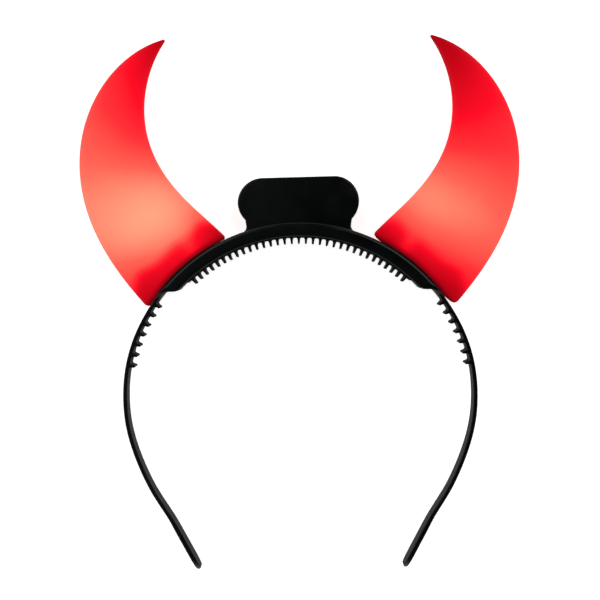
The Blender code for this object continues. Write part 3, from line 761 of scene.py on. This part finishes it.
def horn_surface(band, horns, side, share, around, inset):
    """Horn's skin at a share of its way up and an angle round it, moved in by an inset.

    The two Bezier edges give the middle, the across direction and the half width. The
    section is a superellipse, |x/a|^p + |z/b|^p = 1, whose power eases from 3 to 2.1 and
    whose half depth b swells to the belly as a sine and thins as sqrt(1 - k share^taper).
    Near share 0 the rim is drawn in along a quarter ellipse; past share 1 the section
    shrinks to a point along another.
    """
    kept = np.clip(share, 0.0, 1.0)
    radial = polar(1.0, horns.angle)
    outward = along(horns.angle)
    sizes = np.array([horns.base, horns.height])
    ends = [bezier(edge, kept) * sizes for edge in (HORN_OUTER_EDGE, HORN_INNER_EDGE)]
    outer, inner = [e[..., :1] * outward + e[..., 1:] * radial for e in ends]
    outer = outer + outward * (getattr(horns, "spread_" + side) * (1.0 - kept))[..., None]
    middle = (outer + inner) / 2 + radial * seat_height(band, horns, side)
    span = outer - inner
    wide = np.linalg.norm(span, axis=-1)
    across = span / wide[..., None]
    up = np.stack([-across[..., 1], across[..., 0]], axis=-1)
    swell = np.sin(math.pi / 2 * np.minimum(1.0, kept / horns.belly_at))
    deep = horns.seat_depth + (horns.belly_depth - horns.seat_depth) * swell
    lost = 1.0 - (horns.tip_depth / horns.belly_depth) ** 2
    deep = deep * np.sqrt(1.0 - lost * kept ** horns.taper) / 2
    corner_share = horns.corner / (1.4 * horns.height)
    near_rim = np.clip(1.0 - kept / corner_share, 0.0, 1.0)
    tuck = horns.corner * (1.0 - np.sqrt(1.0 - near_rim ** 2)) + inset
    past = np.clip(share - 1.0, 0.0, 1.0) * math.pi / 2
    half_wide = (wide / 2 - tuck) * np.cos(past)
    half_deep = (deep - tuck) * np.cos(past)
    power = HORN_POWERS[0] + (HORN_POWERS[1] - HORN_POWERS[0]) * kept
    cosine, sine = np.cos(around), np.sin(around)
    x = np.sign(cosine) * np.abs(cosine) ** (2.0 / power) * half_wide
    z = np.sign(sine) * np.abs(sine) ** (2.0 / power) * half_deep
    spot = middle + across * x[..., None] + up * ((wide / 2 - inset) * np.sin(past))[..., None]
    return np.concatenate([spot, z[..., None]], axis=-1)


def seat_share(band, horns, side, around, inset):
    """Share at which each angle's line meets the housing, found by halving an interval."""
    low = np.zeros_like(around)
    high = np.full_like(around, 0.15)
    seat = band.radius + horns.seat_gap
    for _ in range(30):
        middle = (low + high) / 2
        point = horn_surface(band, horns, side, middle, around, inset)
        above = np.hypot(point[..., 0], point[..., 1]) > seat
        high = np.where(above, middle, high)
        low = np.where(above, low, middle)
    return high


def horn_grid(band, horns, side, sides=112, rows=120, inner_rows=36):
    """Rows of the shell: from the hollow's end down to the seat, then up to the tip."""
    around = np.linspace(0.0, 2.0 * math.pi, sides, endpoint=False)
    around = around + math.pi / sides
    start = seat_share(band, horns, side, around, horns.wall)
    steps = np.linspace(1.0, 0.0, inner_rows)[:, None]
    share = start + (horns.hollow_end - start) * steps
    inside = horn_surface(band, horns, side, share, np.broadcast_to(around, share.shape), horns.wall)
    start = seat_share(band, horns, side, around, SKIN_INSET)
    steps = np.concatenate([np.linspace(0.0, 0.03, 12), np.linspace(0.0, 1.0, rows)[4:]])[:, None]
    share = start + (1.0 - start) * steps
    outside = horn_surface(band, horns, side, share, np.broadcast_to(around, share.shape), SKIN_INSET)
    closing = 1.0 + np.array([0.15, 0.3, 0.45, 0.6, 0.72, 0.83, 0.92, 0.97])[:, None]
    share = np.broadcast_to(closing, (len(closing), sides))
    tip = horn_surface(band, horns, side, share, np.broadcast_to(around, share.shape), SKIN_INSET)
    return np.concatenate([inside, outside, tip])


def lamp_glow(band, horns, side, points):
    """How much painted lamp light each point of a horn shows, 0 to 1.

    The lamp's patch is an ellipse: with u and v the distances along its two axes in half
    lengths, the light is far + 1 / (1 + u^2 + v^2)^fade, plus an even slope across and
    up. A painted shadow of the plug in the base takes much of it away below a line that
    bulges over each boss, and painted shade at the seat most of the rest.
    """
    east, north, long, wide, turn, fade, far, slope_across, slope_up = LAMP_PATCH[side]
    passed, shade_height, fade_below, fade_above, slot_light = PLUG_SHADE[side]
    x, y = points[..., 0], points[..., 1]
    outward, radial = along(horns.angle), polar(1.0, horns.angle)
    across = (x * outward[0] + y * outward[1]) / MM - east
    up = (x * radial[0] + y * radial[1] - seat_height(band, horns, side)) / MM - north
    cosine, sine = math.cos(math.radians(turn)), math.sin(math.radians(turn))
    u = (across * cosine + up * sine) / long
    v = (up * cosine - across * sine) / wide
    light = far + 1.0 / (1.0 + u * u + v * v) ** fade + (slope_across * across + slope_up * up) / 100.0
    height = (np.hypot(x, y) - band.radius - horns.seat_gap) / MM
    degrees = np.degrees(np.arctan2(x, y))
    reach = shade_height + sum(rise * bell(degrees, at, half) for at, half, rise in PLUG_BOSSES)
    passed = passed + slot_light * bell(degrees, *PLUG_SLOT)
    shade = passed + (1.0 - passed) * smoothstep(height, reach - fade_below, reach + fade_above)
    rim = RIM_LIGHT + (1.0 - RIM_LIGHT) * smoothstep(height, *RIM_GROWS)
    return np.clip(light * shade * rim, 0.0, 1.0)


class HEADBAND_OT_moulding(bpy.types.Operator):
    """Build the band with its housing, arms and feet, its side teeth and the bare tab"""

    bl_idname = "headband.moulding"
    bl_label = "Band moulding"

    def execute(self, context):
        band, teeth, tab = (getattr(context.scene, key) for key in
                            ("headband_band", "headband_teeth", "headband_tab"))
        black = moulded_black("ABS_moulded_black", context.scene.headband_finish.black, 0.17, 0.85, 0.5)
        add_piece("band_moulding", [skin(band_grid(band))], black, "headband")
        shape = tooth_outline(teeth.side_length, teeth.side_root, teeth.side_tip, teeth.flare, 0.5 * MM)
        for side, flip in SIDES.items():
            shells = []
            for turn in np.linspace(teeth.side_start, teeth.side_end, teeth.side_count):
                face = outer_radius(band, turn) - band.thickness
                outline = turned_in(shape, face, flip * turn)
                shells.append(slab(outline, half_depth(band, outline[:, 1]), teeth.edge))
            add_piece("side_teeth_" + side, shells, black, "headband")
        plate = slab(tab_outline(band, tab), tab.thickness / 2, tab.edge, 6)
        add_piece("crown_tab", [plate], black, "headband")
        return {"FINISHED"}


class HEADBAND_OT_comb(bpy.types.Operator):
    """Build the comb strip that closes the housing's channel"""

    bl_idname = "headband.comb"
    bl_label = "Comb strip"

    def execute(self, context):
        band, teeth = context.scene.headband_band, context.scene.headband_teeth
        black = moulded_black("ABS_moulded_comb", context.scene.headband_finish.black, 0.26, 0.85, 0.2)
        outline = comb_outline(band, teeth)
        strip = slab(outline, band.channel_width / 2 - teeth.gap, teeth.edge)
        add_piece("comb_teeth", [strip], black, "comb_strip")
        return {"FINISHED"}


class HEADBAND_OT_horns(bpy.types.Operator):
    """Build the two hollow, glowing horns"""

    bl_idname = "headband.horns"
    bl_label = "Horns"

    def execute(self, context):
        band, horns = context.scene.headband_band, context.scene.headband_horns
        red = lit_red_plastic("Polystyrene_translucent_red", context.scene.headband_finish)
        for side, flip in SIDES.items():
            grid = horn_grid(band, horns, side)
            glow = lamp_glow(band, horns, side, grid).reshape(-1)
            shell = skin(grid * np.array([flip, 1.0, 1.0]))
            add_piece("horn_shell_" + side, [shell], red, "horn_" + side, 50.0, glow)
        return {"FINISHED"}


class HEADBAND_OT_insides(bpy.types.Operator):
    """Finish the plugs and lamps that stand inside the horns"""

    bl_idname = "headband.insides"
    bl_label = "Plugs and lamps"

    def execute(self, context):
        finish = context.scene.headband_finish
        looks = {"horn_plug_": moulded_black("ABS_moulded_plug", finish.plug, 0.5, 0.6, 0.1),
                 "lamp_": lamp_resin("Epoxy_cast_lamp", finish)}
        for side in SIDES:
            for name, material in looks.items():
                mesh = frame["nodes"][name + side].data
                mesh.materials.clear()
                mesh.materials.append(material)
        return {"FINISHED"}


class HEADBAND_OT_stage(bpy.types.Operator):
    """Lay a pale floor, set soft studio lights and place the camera"""

    bl_idname = "headband.stage"
    bl_label = "Stage"

    def execute(self, context):
        context.scene.view_settings.view_transform = "Standard"
        add_floor(context.scene.headband_finish)
        add_lights()
        add_camera()
        return {"FINISHED"}


def add_floor(finish):
    """Square of opal acrylic under the object."""
    mesh = bpy.data.meshes.new("floor")
    reach = FLOOR_REACH
    corners = [(-reach, -reach, 0.0), (reach, -reach, 0.0), (reach, reach, 0.0), (-reach, reach, 0.0)]
    mesh.from_pydata(corners, [], [(0, 1, 2, 3)])
    mesh.materials.append(opal_acrylic("Acrylic_opal_table", finish.floor))
    floor = bpy.data.objects.new("floor", mesh)
    bpy.context.scene.collection.objects.link(floor)


def add_lights():
    """Softboxes off the camera's axis, and a dim room that is paler at its horizon.

    A black flag behind the crown keeps the housing's middle dark.
    """
    for name, tilt, turn, distance, width, radiance in SOFTBOXES:
        tilt, turn = math.radians(tilt), math.radians(turn)
        place = Vector((math.sin(tilt) * math.sin(turn), math.sin(tilt) * math.cos(turn), math.cos(tilt)))
        light = bpy.data.lights.new(name, "AREA")
        light.size = width
        light.energy = radiance * math.pi * width ** 2
        lamp = bpy.data.objects.new(name, light)
        lamp.location = place * distance
        lamp.rotation_euler = place.to_track_quat("Z", "Y").to_euler()
        bpy.context.scene.collection.objects.link(lamp)
    world = bpy.data.worlds.new("studio")
    world.use_nodes = True
    tree = world.node_tree
    tree.nodes.clear()
    toward = node(tree, "ShaderNodeTexCoord").outputs["Generated"]
    seen = node(tree, "ShaderNodeSeparateXYZ", {"Vector": toward})
    left = node(tree, "ShaderNodeMapRange", {"Value": seen.outputs["X"], "From Min": 0.03, "From Max": -0.03,
                                             "To Min": ROOM_DARK, "To Max": ROOM_DIM})
    low = node(tree, "ShaderNodeMapRange", {"Value": seen.outputs["Z"], "From Min": 0.8, "From Max": 0.1})
    off_crown = node(tree, "ShaderNodeMath", {0: seen.outputs["X"]}, operation="ABSOLUTE")
    flag = node(tree, "ShaderNodeMapRange", {"Value": off_crown, "From Min": FLAG_EDGE[0],
                                             "From Max": FLAG_EDGE[1], "To Min": ROOM_FLAG,
                                             "To Max": 1.0})
    crown = node(tree, "ShaderNodeMapRange", {"Value": seen.outputs["Y"], "From Min": 0.0, "From Max": 0.3})
    flagged = node(tree, "ShaderNodeMix", {0: crown, 2: 1.0, 3: flag})
    pale = node(tree, "ShaderNodeMath", {0: flagged, 1: ROOM_PALE}, operation="MULTIPLY")
    light = node(tree, "ShaderNodeMix", {0: low, 2: left, 3: pale})
    sky = node(tree, "ShaderNodeBackground", {"Color": (0.93, 0.97, 1.0, 1.0), "Strength": light})
    node(tree, "ShaderNodeOutputWorld", {"Surface": sky})
    bpy.context.scene.world = world


def add_camera():
    """Camera square to the band's plane, in front of the crown, leaning a little."""
    _, axes = band_plane()
    lean = math.radians(CAMERA_ROLL)
    right = axes[0] * math.cos(lean) - axes[1] * math.sin(lean)
    up = axes[1] * math.cos(lean) + axes[0] * math.sin(lean)
    turn = Matrix((right, up, axes[2])).transposed().to_4x4()
    data = bpy.data.cameras.new("camera")
    data.lens = CAMERA_LENS
    data.sensor_width = 36.0
    data.shift_y = -CAMERA_SHIFT
    camera = bpy.data.objects.new("camera", data)
    camera.matrix_world = Matrix.Translation(lay([CAMERA_AT])[0]) @ turn
    bpy.context.scene.collection.objects.link(camera)
    bpy.context.scene.camera = camera


class HEADBAND_PT_panel(bpy.types.Panel):
    """Sidebar panel with a button for each group of pieces"""

    bl_idname = "HEADBAND_PT_panel"
    bl_label = "Devil Horns Headband"
    bl_space_type = "VIEW_3D"
    bl_region_type = "UI"
    bl_category = "Headband"

    def draw(self, context):
        for operator in OPERATORS:
            self.layout.operator(operator.bl_idname)
        for key, group in GROUPS.items():
            box = self.layout.box()
            for name in group.__annotations__:
                box.prop(getattr(context.scene, key), name)


OPERATORS = (HEADBAND_OT_moulding, HEADBAND_OT_comb, HEADBAND_OT_horns, HEADBAND_OT_insides,
             HEADBAND_OT_stage)


def register():
    """Register the classes and hang the property groups on the scene."""
    for item in (*GROUPS.values(), *OPERATORS, HEADBAND_PT_panel):
        bpy.utils.register_class(item)
    for key, group in GROUPS.items():
        setattr(bpy.types.Scene, key, bpy.props.PointerProperty(type=group))


def unregister():
    """Take the property groups and the classes away again."""
    for key in GROUPS:
        delattr(bpy.types.Scene, key)
    for item in (HEADBAND_PT_panel, *reversed(OPERATORS), *reversed(GROUPS.values())):
        bpy.utils.unregister_class(item)


def main():
    """Build every piece, then the stage."""
    register()
    bpy.ops.headband.moulding()
    bpy.ops.headband.comb()
    bpy.ops.headband.horns()
    bpy.ops.headband.insides()
    bpy.ops.headband.stage()


if __name__ == "__main__":
    main()
